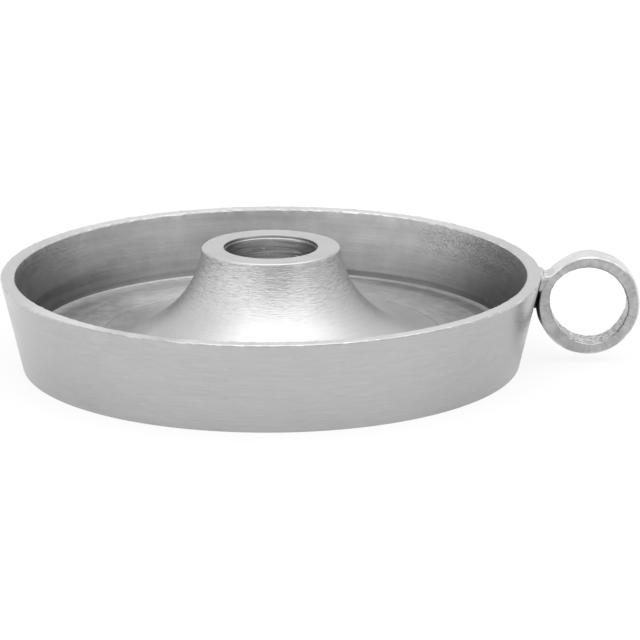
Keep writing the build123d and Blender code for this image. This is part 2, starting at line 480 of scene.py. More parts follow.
def rim_burnish_and_highlights(sheet):
    """Burnished lengths of the rim's edges painted brighter as glints, none at the weld, and a painted
    highlight on the top at the front, the left and the back.
    """
    cosine, sine, reach, height = around(sheet, "pan")
    from_middle = abs(reach - rim_radius + RIM_WIDTH / 2)
    edge = sheet.between(from_middle, *RIM_EDGE)
    broken = sheet.between(streaks(sheet, "pan", *BURNISH_DASH, 13.0), 0.0, 0.16)
    edge = edge * broken * sheet.between(cosine, 0.99, 0.996, 1.0, 0.0)
    # Painted highlight on the rim's top at the front, the left front and the back.
    left = sheet.between(cosine, -0.45, -0.2, 0.9, 0.0) * sheet.between(sine, -0.75, -0.3, 1.0, 0.0)
    front = sheet.between(sine, -0.95, -0.3, 0.5, 0.0)
    top_highlight = front + (1 - front) * left + sheet.between(sine, 0.4, 0.8, 0.0, 0.75)
    top_highlight = top_highlight * sheet.between(height, *BEVEL)
    return top_highlight + (1 - top_highlight) * edge, BURNISH_AND_HIGHLIGHT_TONE, BURNISH_ROUGHNESS


def rim_bevel_shade(sheet):
    """The share of tone lost on the bevels at the front and the back: painted shade."""
    _, sine, _, height = around(sheet, "pan")
    return sheet.between(height, *BEVEL, 0.35, 0.0) * sheet.between(abs(sine), 0.5, 0.9)


rim_finish = faced("rim", FINE_RINGS, tone=0.56, roughness=0.36, bright_of=rim_burnish_and_highlights, dull_of=rim_bevel_shade)

# %% [markdown]
# ## Marks on the floor
# The floor has a painted highlight, a bright line at its outer edge, and beside it on the right a dull band,
# a painted reflection of the wall's dark foot. At the left it has smudges and specks over painted shade, and
# a patch of painted sheen runs over it and the socket's foot. Where the floor turns up into the wall it has
# painted shade, most at the right. The marks could be painted on the mesh, but then they would hang on its
# faces. Here each is a mask of angle, radius and height, so it keeps its place on any mesh.

# %% The floor
COARSE_RINGS = (0.3 * MM, 0.03 * MM)
FLOOR_TONE = 0.49
FLOOR_ROUGHNESS = 0.42
# The painted highlight line and the painted sheen patch take this tone.
LINE_TONE = 0.59
LINE_ROUGHNESS = 0.5
LINE_WIDTHS = (4 * MM, 0.9 * MM)
LINE_FULL = floor_radius - 0.5 * MM
BAND_START = (floor_radius - 5 * MM, floor_radius - 4 * MM)
BAND_END = (floor_radius - 1.3 * MM, floor_radius - 0.9 * MM)
TURNED_UP = (floor_level + 0.02 * MM, floor_level + 0.08 * MM)
PATCH_AT = math.radians(124)
PATCH_START = (foot_radius - 8 * MM, foot_radius - 1 * MM)
PATCH_END = (foot_radius + 4 * MM, foot_radius + 13 * MM)
SPECK = 0.9 * MM
SMUDGE = 3.5 * MM


def sheen_patch(sheet):
    """A painted sheen: the brighter patch behind the socket on the left, over the floor and the socket's
    foot.
    """
    cosine, sine, reach, _ = around(sheet, "pan")
    turned = cosine * math.cos(PATCH_AT) + sine * math.sin(PATCH_AT)
    inside = sheet.between(reach, *PATCH_START, 0.0, 0.7)
    outside = sheet.between(reach, *PATCH_END, 1.0, 0.0)
    return sheet.between(turned, 0.92, 0.99) * inside * outside


def turned_up(sheet):
    """Where the floor turns up into the wall."""
    return sheet.between(around(sheet, "pan")[3], *TURNED_UP)


def floor_edge_highlight(sheet):
    """A painted highlight: the bright line at the floor's outer edge, wider and softer at the left, and the
    painted sheen patch.
    """
    cosine, _, reach, _ = around(sheet, "pan")
    width = sheet.between(cosine, -0.35, 0.1, *LINE_WIDTHS)
    line = sheet.between(reach, floor_radius - width, LINE_FULL)
    line = line * sheet.between(cosine, 0.0, 0.5, 1.0, 0.5) * (1 - turned_up(sheet))
    return line + (1 - line) * sheen_patch(sheet), LINE_TONE, LINE_ROUGHNESS


def left_marks_and_shade(sheet):
    """The share of tone that smudges and a painted shade take at the left end, less what small specks give
    back.
    """
    cosine = around(sheet, "pan")[0]
    specks = sheet.between(grain(sheet, SPECK, 17.0, 1.0), 0.14, 0.22)
    # The even part of the smudges is painted shade over the left end; the grain and the specks are marks.
    smudges = 0.14 + 0.6 * grain(sheet, SMUDGE, 19.0)
    return (smudges - 0.4 * specks) * sheet.between(cosine, -0.9, -0.65, 1.0, 0.0)


def floor_shade_and_marks(sheet):
    """The share of tone lost in a painted reflection inside that line on the right, in the marks and painted
    shade at the left, and in painted shade in the corner.
    """
    cosine, _, reach, _ = around(sheet, "pan")
    band = sheet.between(reach, *BAND_START)
    # Painted reflection: a dull band inside the bright line on the right.
    dull = 0.25 * band * sheet.between(cosine, 0.1, 0.7) + left_marks_and_shade(sheet)
    dull = dull * sheet.between(reach, *BAND_END, 1.0, 0.0)
    # Painted shade in the corner where the floor turns up into the wall, most at the right.
    return dull + turned_up(sheet) * sheet.between(cosine, -0.2, 0.3, 0.15, 0.4)


floor_finish = faced("floor", COARSE_RINGS, FLOOR_TONE, FLOOR_ROUGHNESS, floor_edge_highlight, floor_shade_and_marks)

# %% [markdown]
# ## The brushed outside
# The outside was brushed with a coarse pad, which leaves short dashes between fine hairs, over broad clouds
# where the pad was pressed more or less. One noise with much detail would give all three sizes, but not in
# the right shares, so three are added. The gap behind the ring is painted almost black, as shade, and both
# ends of the wall are painted a little darker, as shade, most at the right.

# %% The brushed finish
BRUSH_HAIR = (24 * MM, 0.2 * MM)
BRUSH_DASH = (4 * MM, 0.45 * MM)
BRUSH_CLOUD = (14 * MM, 5 * MM)
BRUSH_HAIR_DEPTH = 0.008 * MM
BRUSH_DASH_DEPTH = 0.03 * MM
BRUSH_CLOUD_DEPTH = 0.05 * MM
# The tone left where shade is painted in the gap behind the ring, and the heights it spans on the wall.
GAP_SHADE = 0.04
GAP_SHADE_FOOT = (rim_level - 10.5 * MM, rim_level - 8.5 * MM)
GAP_SHADE_TOP = (rim_level - 4.6 * MM, rim_level - 3.6 * MM)


def brushed(name, tone, roughness):
    material, sheet = new_sheet(name)
    hair = streaks(sheet, "pan", *BRUSH_HAIR, 1.0)
    dash = streaks(sheet, "pan", *BRUSH_DASH, 5.0)
    cloud = streaks(sheet, "pan", *BRUSH_CLOUD, 3.0)
    cosine, _, _, height = around(sheet, "pan")
    # Painted shade: the gap behind the ring is darkened almost to black.
    gap = sheet.between(cosine, 0.998, 0.9992) * sheet.between(height, *GAP_SHADE_TOP, 1.0, 0.0)
    gap = gap * sheet.between(height, *GAP_SHADE_FOOT)
    # Painted shade: the wall is a little darker towards both ends, most at the right.
    ends = sheet.between(abs(cosine), 0.45, 0.85, 1.0, 0.95) * sheet.between(cosine, 0.3, 0.8, 1.0, 0.96)
    grey = tone * ends * (1 + 0.15 * hair + 0.25 * dash + 0.12 * cloud) * (1 - (1 - GAP_SHADE) * gap)
    relief = BRUSH_HAIR_DEPTH * hair + BRUSH_DASH_DEPTH * dash + BRUSH_CLOUD_DEPTH * cloud
    return metal(sheet, material, grey, roughness + 0.2 * dash + 0.2 * cloud, relief, 0.6)


outside_finish = brushed("outer_wall", tone=0.465, roughness=0.32)

# %% [markdown]
# ## The wiped inside
# The inside of the wall was wiped along with a soft pad: broad faint bands and clouds, with sandy cast skin
# left near the rim towards both ends. Painted shade makes it darker at both ends, most at the right and low
# down, darkest in the corner above the floor, and lighter higher up. A darker band runs above that corner at
# the left. Each of these could be a material of its own, but they run into one another, so one shade is
# multiplied up from smooth steps of angle and of height above the floor. Each sandy patch has an angle and a
# strength.

# %% The wiped finish
WIPE_BAND = (40 * MM, 2.6 * MM)
WIPE_HAIR = (12 * MM, 0.3 * MM)
WIPE_CLOUD = 5 * MM
WIPE_BAND_DEPTH = 0.1 * MM
WIPE_HAIR_DEPTH = 0.012 * MM
SAND = 0.6 * MM
SAND_DEPTH = 0.12 * MM
SAND_PATCHES = [(math.radians(32), 1.05), (math.radians(160), 0.5)]
SKIN_HEIGHTS = (rim_level - 10 * MM, rim_level - 4 * MM)
CORNER_SHADE_RISE = (1.3 * MM, 1.9 * MM)
LOW_ENDS_RISE = (2 * MM, 7 * MM)
LIGHTER_RISE = (1 * MM, 12 * MM)
DARKER_BAND_RISE = 4 * MM
DARKER_BAND_SWAY = 4 * MM
DARKER_BAND_HALF = (0.5 * MM, 1.5 * MM)


def wiped(name, tone, roughness):
    material, sheet = new_sheet(name)
    bands = streaks(sheet, "pan", *WIPE_BAND, 4.0)
    hair = streaks(sheet, "pan", *WIPE_HAIR, 7.0)
    cloud = grain(sheet, WIPE_CLOUD, 11.0)
    sand = grain(sheet, SAND, 2.0)
    cosine, sine, _, height = around(sheet, "pan")
    upper = sheet.between(height, *SKIN_HEIGHTS)
    skin_left = 0.15
    for angle, share in SAND_PATCHES:
        turned = cosine * math.cos(angle) + sine * math.sin(angle)
        skin_left = skin_left + share * upper * sheet.between(turned, 0.92, 0.98)
    rise = height - floor_level
    # Painted shade: darker at both ends, most at the right and low down, darkest in the corner above the
    # floor, lighter higher up.
    low_end_shade = sheet.between(abs(cosine), 0.45, 0.85) * sheet.between(rise, *LOW_ENDS_RISE, 1.0, 0.0)
    corner_shade = sheet.between(cosine, -0.2, 0.3, 0.15, 0.45) * sheet.between(cosine, 0.5, 0.75, 1.0, 0.55)
    shade = (1 - corner_shade * sheet.between(rise, *CORNER_SHADE_RISE, 1.0, 0.0)) * (1 - 0.25 * low_end_shade)
    shade = shade * sheet.between(rise, *LIGHTER_RISE, 0.82, 1.05)
    shade = shade * sheet.between(cosine, 0.72, 0.95, 1.0, 0.58)
    shade = shade * sheet.between(cosine, -0.97, -0.75, 0.70, 1.0)
    # A darker band above the corner at the left, swaying with the bands.
    darker_band = sheet.between(abs(rise - DARKER_BAND_RISE + DARKER_BAND_SWAY * bands), *DARKER_BAND_HALF, 1.0, 0.0)
    shade = shade * (1 - 0.25 * darker_band * sheet.between(cosine, -0.75, -0.6, 1.0, 0.0))
    grey = tone * shade * (1 + 0.35 * bands + 0.4 * cloud + 0.15 * hair + 0.9 * skin_left * sand)
    relief = WIPE_BAND_DEPTH * bands + WIPE_HAIR_DEPTH * hair + SAND_DEPTH * skin_left * sand
    return metal(sheet, material, grey, roughness + 0.2 * bands + 0.3 * skin_left * sand, relief, 0.4)


inside_finish = wiped("inner_wall", tone=0.37, roughness=0.34)

# %% [markdown]
# ## The cast underside
# The undersides of the pan and the socket are still as they were cast, sandy and blotched. The sand could be
# a displaced mesh, but nobody sees it while the pan stands, so grain of two sizes is enough: fine for the
# sand of the mould, slow for the blotches.

# %% The cast finish
CAST_SAND = 0.55 * MM
CAST_BLOTCH = 4.5 * MM
CAST_DEPTH = 0.09 * MM
CAST_TONE = 0.46
CAST_ROUGHNESS = 0.50


def cast(name):
    material, sheet = new_sheet(name)
    sand = grain(sheet, CAST_SAND, 2.0)
    blotch = grain(sheet, CAST_BLOTCH, 5.0)
    grey = CAST_TONE * (1 + 0.4 * sand + 0.5 * blotch)
    rough = CAST_ROUGHNESS + 0.4 * sand + 0.3 * blotch
    return metal(sheet, material, grey, rough, CAST_DEPTH * (sand + 3 * blotch))


underside_finish = cast("underside")

# %% [markdown]
# ## The pan
# The pan's strips are sorted into zones by where they lie and which way they face: the rim and the floor
# face up, the walls face out and in, and the rest is the underside. The wobble is strongest at the rim,
# where a pad was held by hand, and nothing moves where the pan stands on the table. The edges of the rim
# were broken with short strokes, so they have a quicker ripple that glints.

# %% Spin the pan
PAN_COUNT = 680
PAN_SEEN_STEP = 1.6 * MM
PAN_HIDDEN_STEP = 6 * MM
PAN_WOBBLE = 0.06
WALL_RIPPLE = 0.02
EDGE_STROKES = 0.09
EDGE_HEIGHT = 0.45 * MM
RIM_FOOT = rim_level - 0.5 * MM
UNDER_FLOOR = floor_level - 0.5 * MM
pan_wobble = waves(4, [2, 3, 5, 7], 0.1)
wall_ripple = waves(9, [11, 17, 23, 31], 0.8)
edge_strokes = waves(12, [41, 57, 83, 109, 141, 181], 0.5)


def pan_shift(angle, outline, normal):
    level = outline[:, 1]
    lifted = np.clip(level / rim_level, 0, 1) ** 2
    edge = np.clip(1 - (rim_level - level) / EDGE_HEIGHT, 0, 1) * (np.abs(normal[:, 1]) < 0.95)
    slow = PAN_WOBBLE * pan_wobble(angle, level) + WALL_RIPPLE * wall_ripple(angle, level)
    return MM * (lifted * slow + EDGE_STROKES * edge * edge_strokes(angle, level))


def pan_zone(spot, facing):
    radius, height = spot
    across, up = facing
    if height > RIM_FOOT and up > -0.5:
        return "rim"
    if up > 0.5 and radius > foot_radius:
        return "floor"
    if across > 0.7 and radius > 0.97 * base_radius:
        return "outer_wall"
    if across < -0.2 and up > 0.1 and radius > foot_radius:
        return "inner_wall"
    return "underside"


def pan_step(spot):
    hidden = spot[1] < UNDER_FLOOR and spot[0] < 0.99 * base_radius
    return PAN_HIDDEN_STEP if hidden else PAN_SEEN_STEP


pan_finishes = {
    "outer_wall": outside_finish,
    "rim": rim_finish,
    "inner_wall": inside_finish,
    "floor": floor_finish,
    "underside": underside_finish,
}
pan_outline = worn(pan_section, pan_step)
print("pan outline points:", len(pan_outline))
pan = spun("pan_turned", pan_outline, PAN_COUNT, pan_shift, upright, pan_zone, pan_finishes)
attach(pan, "root")
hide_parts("pan")

# %% [markdown]
# ## The candle socket
# The socket is a separate casting, turned on its flare and its lip and bored for the candle. The tool
# chattered on the steep upper part of the flare and left wavy lines and fine torn scratches there, which
# fade towards the foot. The foot was faced together with the floor after the two were joined, so its tone
# and gloss run into the floor's. The bore was cut in one rough pass, so its rings are wide and its gloss low.
# Chatter could be waves in the outline, but it isn't the same all round, so it is streaks that a slower noise
# sways up and down.

# %% Finishes of the socket
SWAY = 1.2 * MM
SWAY_SIZE = 2.2 * MM
CHATTER = (7 * MM, 0.34 * MM)
CHATTER_DEPTH = 0.1 * MM
SCRATCH = (8 * MM, 0.32 * MM)
SCRATCH_DEPTH = 0.025 * MM
TURNED_HAIR = (60 * MM, 0.2 * MM)
TURNED_HAIR_DEPTH = 0.01 * MM
STEEP = (floor_level + 4 * MM, lip_level - 5 * MM)
TORN_END = (foot_radius - 19 * MM, foot_radius - 10 * MM)
FOOT_START = (foot_radius - 18 * MM, foot_radius - 4 * MM)
BORE_RINGS = (50 * MM, 0.5 * MM)
BORE_NICKS = (14 * MM, 0.3 * MM)
BORE_DEPTH = 0.08 * MM


def chattered(name, tone, roughness):
    material, sheet = new_sheet(name)
    sway = SWAY * grain(sheet, SWAY_SIZE, 8.0, 1.0)
    chatter = streaks(sheet, "pan", *CHATTER, 2.0, sway)
    scratch = sheet.between(streaks(sheet, "pan", *SCRATCH, 11.0, sway, 1.0), 0.06, 0.2)
    hair = streaks(sheet, "pan", *TURNED_HAIR, 6.0)
    _, _, reach, height = around(sheet, "pan")
    steep = sheet.between(height, *STEEP, 0.15, 1.0)
    foot = sheet.between(reach, *FOOT_START)
    torn = sheet.between(reach, *TORN_END, 1.0, 0.0)
    ground = tone + (FLOOR_TONE - tone) * foot
    # The foot takes the floor's smudges and painted shade at the left, and the painted sheen patch.
    ground = ground * (1 - foot * left_marks_and_shade(sheet)) + (LINE_TONE - FLOOR_TONE) * sheen_patch(sheet)
    grey = ground * (1 + steep * (0.8 * chatter - 0.15 * scratch) + 0.15 * hair)
    relief = steep * (CHATTER_DEPTH * chatter - SCRATCH_DEPTH * scratch) + TURNED_HAIR_DEPTH * hair
    rough = roughness + (FLOOR_ROUGHNESS - roughness) * foot + 0.2 * chatter
    return metal(sheet, material, grey, rough, relief, 0.5, torn)


def bored(name, tone, roughness):
    material, sheet = new_sheet(name)
    rings = streaks(sheet, "pan", *BORE_RINGS, 1.0)
    nick = sheet.between(streaks(sheet, "pan", *BORE_NICKS, 9.0), 0.16, 0.24)
    # Painted shade: the bore is darker towards its left and right sides.
    sides = sheet.between(abs(around(sheet, "pan")[0]), 0.45, 0.95, 1.0, 0.4)
    grey = tone * sides * (1 + 0.9 * rings + 0.5 * nick)
    return metal(sheet, material, grey, roughness + 0.3 * rings, BORE_DEPTH * (rings + nick))


socket_finishes = {
    "lip": faced("lip", FINE_RINGS, tone=0.54, roughness=0.36),
    "flare": chattered("flare", tone=0.59, roughness=0.40),
    "bore": bored("bore", tone=0.63, roughness=0.46),
    "socket_underside": cast("socket_underside"),
}

# %% [markdown]
# The socket is spun like the pan. Only its turned outside wobbles, and less and less towards the foot, which
# was faced flush with the floor. The cored underside is hidden inside the pan, so it gets coarse steps.

# %% Spin the socket
SOCKET_COUNT = 360
SOCKET_WOBBLE = 0.05 * MM
SOCKET_SEEN_STEP = 0.6 * MM
SOCKET_HIDDEN_STEP = 3 * MM
WOBBLE_BEYOND = 13 * MM
FLUSH_WIDTH = 10 * MM
LIP_FOOT = lip_level - 0.4 * MM
BORE_FOOT = lip_level - 15.5 * MM
BORE_WITHIN = 12 * MM
FLARE_BEYOND = 16 * MM
SEEN_ABOVE = floor_level + 9 * MM
SEEN_BEYOND = 25 * MM
socket_wobble = waves(21, [2, 3, 4, 6], 0.15)


def socket_shift(angle, outline, normal):
    outside = (normal[:, 1] > -0.2) & (outline[:, 0] > WOBBLE_BEYOND)
    flush = np.clip((foot_radius - outline[:, 0]) / FLUSH_WIDTH, 0, 1)
    return np.where(outside, SOCKET_WOBBLE * flush * socket_wobble(angle, outline[:, 1]), 0.0)


def socket_zone(spot, facing):
    radius, height = spot
    across, up = facing
    if height > LIP_FOOT and up > 0.3:
        return "lip"
    if height > BORE_FOOT and radius < BORE_WITHIN:
        return "bore"
    if up > 0.02 and across > -0.1 and radius > FLARE_BEYOND:
        return "flare"
    return "socket_underside"


def socket_step(spot):
    seen = spot[1] > SEEN_ABOVE or spot[0] > SEEN_BEYOND
    return SOCKET_SEEN_STEP if seen else SOCKET_HIDDEN_STEP


socket_outline = worn(socket_section, socket_step)
print("socket outline points:", len(socket_outline))
socket = spun(
    "socket_turned", socket_outline, SOCKET_COUNT, socket_shift, upright, socket_zone, socket_finishes
)
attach(socket, "root")
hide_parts("candle_socket")

# %% [markdown]
# ## The finger ring
# The ring is a slice of tube. Its outside was filed along the curve by hand, so it has shallow flats. Most
# was taken off at the top on the side towards the weld, and least on the far side and beside the gap below
# the weld. The bore was opened with a round file, so neither is quite round, and the faces are a little wavy.
# Cutting each flat with a solid would leave hard lines, so the file is a few smooth dips in the radius. The
# ring lies down while it is spun, so its top is at minus ninety degrees. A depth below nought is metal that
# was left on.

# %% File the ring out of round
RING_WOBBLE = 0.05
FILE_FLATS = 0.03
BORE_LUMPS = 0.05
FACE_WAVES = 0.04
ring_wobble = waves(33, [2, 3, 5, 8], 0.2)
file_flats = waves(34, [13, 17, 22, 29], 0.5)
bore_lumps = waves(35, [19, 27, 38, 53], 1.6)
face_waves = waves(37, [2, 4, 7, 11], 0.3)
OUTSIDE_FILED = [(-128, 44, 0.55 * MM), (-186, 26, -0.4 * MM), (-18, 60, -0.4 * MM)]
BORE_FILED = [
    (-145, 52, 0.36 * MM),
    (-203, 50, -0.45 * MM),
    (-240, 35, -0.22 * MM),
    (-298, 45, 0.28 * MM),
    (-350, 28, 0.28 * MM),
]
WELD_AT = math.radians(-165)
WELD_HALF = math.radians(42)


def apart_from(angle, middle):
    """How far an angle is from a given one, the short way round."""
    return np.abs((angle - middle + math.pi) % math.tau - math.pi)


def filed_off(angle, places):
    """How much the file took off at a lathe angle; each place has a middle and a half width in degrees."""
    total = 0.0
    for middle, half, depth in places:
        share = np.clip(apart_from(angle, math.radians(middle)) / math.radians(half), 0, 1)
        total = total + depth * np.cos(share * math.pi / 2) ** 2
    return total


def ring_shift(angle, outline, normal):
    outside = np.clip(normal[:, 0], 0, 1)
    inside = np.clip(-normal[:, 0], 0, 1)
    face = np.abs(normal[:, 1])
    free = np.clip(apart_from(angle, WELD_AT) / WELD_HALF - 1, 0, 1)
    strokes = RING_WOBBLE * ring_wobble(angle, outline[:, 1]) + FILE_FLATS * file_flats(angle, outline[:, 1])
    lumps = BORE_LUMPS * bore_lumps(angle, outline[:, 1])
    flutter = FACE_WAVES * face * face_waves(angle, outline[:, 0])
    return MM * (free * outside * strokes + inside * lumps + flutter)


def ring_stretch(angle, outline):
    share = (outline[:, 0] - ring_bore_radius) / (ring_radius - ring_bore_radius)
    return (1 - share) * filed_off(angle, BORE_FILED) - share * filed_off(angle, OUTSIDE_FILED)


print(f"deepest filing {max(place[2] for place in OUTSIDE_FILED) / MM:.2f} mm")

# %% [markdown]
# The file left bright strokes and nicks on the outside, along the curve. On the faces the nicks run across
# the band. The edges are worn dull in places, and the part that faces the pan, in the gap below the weld, is
# painted almost black as shade. The bore keeps a rough skin with pits that hold bright and dark specks, and
# its two sides are painted darker as shade. The strokes and the nicks are given as a length, a width and a
# depth, so that one finish serves the outside and the faces.

# %% Finishes of the ring
OUTSIDE_STROKES = (14 * MM, 1.5 * MM, 0.12 * MM)
OUTSIDE_NICKS = (4 * MM, 0.4 * MM, 0.02 * MM)
FACE_STROKES = (6 * MM, 1.2 * MM, 0.06 * MM)
FACE_NICKS = (0.8 * MM, 3 * MM, 0.04 * MM)
GAP_SHADE_REACH = (ring_radius - 0.6 * MM, ring_radius - 0.2 * MM)
RING_EDGE = (ring_half_width - 0.45 * MM, ring_half_width - 0.3 * MM)
EDGE_DASH = (5 * MM, 3 * MM)
PIT = 0.8 * MM
PIT_DEPTH = 0.4 * MM
PIT_CLOUD = 2 * MM
PIT_CLOUD_DEPTH = 0.1 * MM


def filed_metal(name, strokes_given, nicks_given, tone, roughness, edge_wear):
    material, sheet = new_sheet(name)
    strokes = streaks(sheet, "ring", *strokes_given[:2], 2.0, 0.0, 1.0)
    nicks = streaks(sheet, "ring", *nicks_given[:2], 9.0)
    cosine, sine, reach, height = around(sheet, "ring")
    # Painted shade: the outside that faces the pan, in the gap below the weld, is darkened almost to black.
    gap = sheet.between(cosine, -0.985, -0.90, 1.0, 0.0) * sheet.between(sine, 0.2, 0.32, 1.0, 0.0)
    gap = gap * sheet.between(reach, *GAP_SHADE_REACH)
    edge = sheet.between(abs(height), *RING_EDGE)
    worn_edge = edge * sheet.between(streaks(sheet, "ring", *EDGE_DASH, 15.0), -0.1, 0.1)
    shade_and_wear = (1 - (1 - GAP_SHADE) * gap) * (1 - edge_wear * worn_edge)
    grey = tone * (1 + 0.4 * strokes + 0.7 * nicks) * shade_and_wear
    relief = strokes_given[2] * strokes + nicks_given[2] * nicks
    return metal(sheet, material, grey, roughness + 0.4 * strokes + 0.3 * nicks, relief)


def pitted_metal(name, tone, roughness):
    material, sheet = new_sheet(name)
    pits = grain(sheet, PIT, 2.0, 2.0)
    cloud = grain(sheet, PIT_CLOUD, 6.0)
    # Painted shade: the bore is darker towards its left and right sides.
    sides = sheet.between(abs(around(sheet, "ring")[0]), 0.3, 0.85, 1.0, 0.75)
    grey = tone * sides * (1 + 3.6 * pits + 0.6 * cloud)
    return metal(sheet, material, grey, roughness + 0.4 * pits, PIT_DEPTH * pits + PIT_CLOUD_DEPTH * cloud)


outside_look = {"tone": 0.72, "roughness": 0.32, "edge_wear": 0.4}
face_look = {"tone": 0.435, "roughness": 0.34, "edge_wear": 0.15}
ring_finishes = {
    "ring_outside": filed_metal("ring_outside", OUTSIDE_STROKES, OUTSIDE_NICKS, **outside_look),
    "ring_face": filed_metal("ring_face", FACE_STROKES, FACE_NICKS, **face_look),
    "ring_bore": pitted_metal("ring_bore", tone=0.46, roughness=0.24),
}

# %% [markdown]
# The ring is spun lying down and stood up again by the inverse of the matrix that laid it down. Its zones are
# the outside, the two faces and the bore. All of it can be seen, so its steps are fine everywhere.

# %% Spin the ring
RING_COUNT = 360
RING_STEP = 0.35 * MM


def ring_zone(spot, facing):
    across, up = facing
    if abs(up) > 0.3 and across < 0.3:
        return "ring_face"
    return "ring_outside" if across > 0 else "ring_bore"


def ring_step(spot):
    return RING_STEP


ring_outline = worn(ring_section, ring_step)
print("ring outline points:", len(ring_outline))
ring = spun(
    "ring_filed", ring_outline, RING_COUNT, ring_shift, ring_back, ring_zone, ring_finishes, ring_stretch
)
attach(ring, "root")
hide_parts("finger_ring")

# %% [markdown]
# ## The weld
# Filler metal is laid molten: it runs into the gap between the wall and the ring and draws itself up against
# both in a smooth curve. That is what a smooth union of two distance fields does, so the weld is made as one.
# The fields are the distances to the ring's round and to the wall, and the width of the blend says how much
# filler there is. The front end of the weld bulges at the rim. Below that it was filed flush with the ring's
# face, and the edge of the file left a narrow groove along the wall, which is painted darker as shade. Lower
# down there is only a root run deep in the gap, and the gap is also painted black as shade.

# %% Distance fields of the ring and the wall
CELL = 0.12 * MM
GRID_INSIDE = 3.2 * MM
GRID_OUTSIDE = 6.5 * MM
GRID_ENDS = 1.2 * MM
GRID_SPARE = 3 * MM
WALL_SLOPE = (rim_radius - base_radius) / rim_level
weld_low = Vector((rim_radius - GRID_INSIDE, -ring_half_width - GRID_ENDS, ring_centre.z - GRID_SPARE))
weld_high = Vector((rim_radius + GRID_OUTSIDE, ring_half_width + GRID_ENDS, rim_level + GRID_SPARE))
weld_grid = np.meshgrid(*(np.arange(a, b, CELL) for a, b in zip(weld_low, weld_high)), indexing="ij")
print("weld grid:", weld_grid[0].shape)


def ring_distance(x, z):
    across, drop = x - ring_centre.x, ring_centre.z - z
    outer = ring_radius - filed_off(np.arctan2(drop, across), OUTSIDE_FILED)
    middle = (outer + ring_bore_radius) / 2
    return np.abs(np.hypot(across, drop) - middle) - (outer - middle)


def wall_distance(x, y, z):
    out = (np.hypot(x, y) - base_radius - WALL_SLOPE * z) * math.cos(math.atan(WALL_SLOPE))
    above = z - rim_level
    return np.hypot(np.maximum(out, 0), np.maximum(above, 0)) + np.minimum(np.maximum(out, above), 0)


# %% [markdown]
# The blended field is turned into a mesh by surface nets: every small cell that the surface passes through
# gets one point, at the mean of where the surface cuts the cell's edges, and every cut edge gets one face
# between the four cells around it. The faces are even and the mesh is closed. Faces across Y are wound the
# other way round, because X and Z stand the other way round about Y.

# %% Surface nets
def window(shape, corner):
    """The slices that cut a block of a given shape out of a field, from a corner on."""
    return tuple(slice(c, c + n) for c, n in zip(corner, shape))


def skin(name, field, low, cell):
    """A closed mesh where the field passes through nought, by surface nets."""
    shape = np.array(field.shape) - 1
    total = np.zeros((*shape, 3))
    cuts = np.zeros(shape)
    for axis, corner in itertools.product(range(3), itertools.product((0, 1), repeat=3)):
        if corner[axis] == 0:
            first = field[window(shape, corner)]
            second = field[window(shape, [c + (k == axis) for k, c in enumerate(corner)])]
            cut = (first < 0) != (second < 0)
            place = np.zeros((*shape, 3)) + corner
            place[..., axis] = np.where(cut, first / np.where(cut, first - second, 1), 0)
            total += place * cut[..., None]
            cuts += cut
    live = cuts > 0
    number = np.zeros(shape, dtype=int)
    number[live] = np.arange(live.sum())
    points = np.array(low) + cell * (np.argwhere(live) + total[live] / cuts[live][:, None])
    quads = []
    for axis in range(3):
        inside = np.moveaxis(field < 0, axis, 0)
        cell_number = np.moveaxis(number, axis, 0)
        here = inside[:-1, 1:-1, 1:-1]
        cut = here != inside[1:, 1:-1, 1:-1]
        sides = [(slice(0, -1), slice(0, -1)), (slice(1, None), slice(0, -1))]
        sides += [(slice(1, None), slice(1, None)), (slice(0, -1), slice(1, None))]
        faces = np.stack([cell_number[:, first, second][cut] for first, second in sides], axis=1)
        outside_ahead = here[cut] != (axis == 1)
        quads.append(np.where(outside_ahead[:, None], faces, faces[:, ::-1]))
    mesh = bpy.data.meshes.new(name)
    mesh.from_pydata(points.tolist(), [], np.vstack(quads).tolist())
    mesh.shade_smooth()
    piece = bpy.data.objects.new(name, mesh)
    bpy.context.scene.collection.objects.link(piece)
    print(name, "faces:", len(mesh.polygons))
    return piece


# %% [markdown]
# The weld's field is the nearer of the two distances, less a rise where both are near: that rise is the
# fillet, and it is sunk a little so that its border dips under both skins. The front end is set back by an
# amount that changes with the drop below the rim: the bulge, the flush part and the root run. Inside the ring
# and the wall the filler ends at a fusion depth, and over the rim it stays just below the faced top. Each of
# these limits could be a cut, but filler has no sharp edges, so most are joined by a soft maximum.

# %% The field of the weld
FILLET = 4.4 * MM
FUSION = 0.5 * MM
SINK = 0.09 * MM
BORDER_SLOPE = 0.12
BORDER_LIFT = 0.7
RIPPLE = 0.05 * MM
RIPPLE_PER_MM = 2.3
RIPPLE_START = 0.5
WELD_FOOT = rim_level - 9.0 * MM
FRONT_DROPS = np.array([9.0, 4.9, 4.4, 1.6, 0.6]) * MM
FRONT_SETS = np.array([1.8, 1.8, 0.05, 0.03, -0.2]) * MM
BACK_SET = 0.3 * MM
GROOVE_WIDTH = 0.35 * MM
GROOVE_DROP_MM = 0.8
BELOW_RIM = 0.03 * MM
INSIDE_RIM = 0.1 * MM
END_ROUND = 0.9 * MM
FOOT_ROUND = 0.5 * MM
BORDER_ROUND = 0.4 * MM
FUSION_ROUND = 0.3 * MM


def soft_max(first, second, size):
    """The larger of two fields, with a round edge where they cross."""
    near = np.maximum(size - np.abs(first - second), 0)
    return np.maximum(first, second) + near * near / (4 * size)


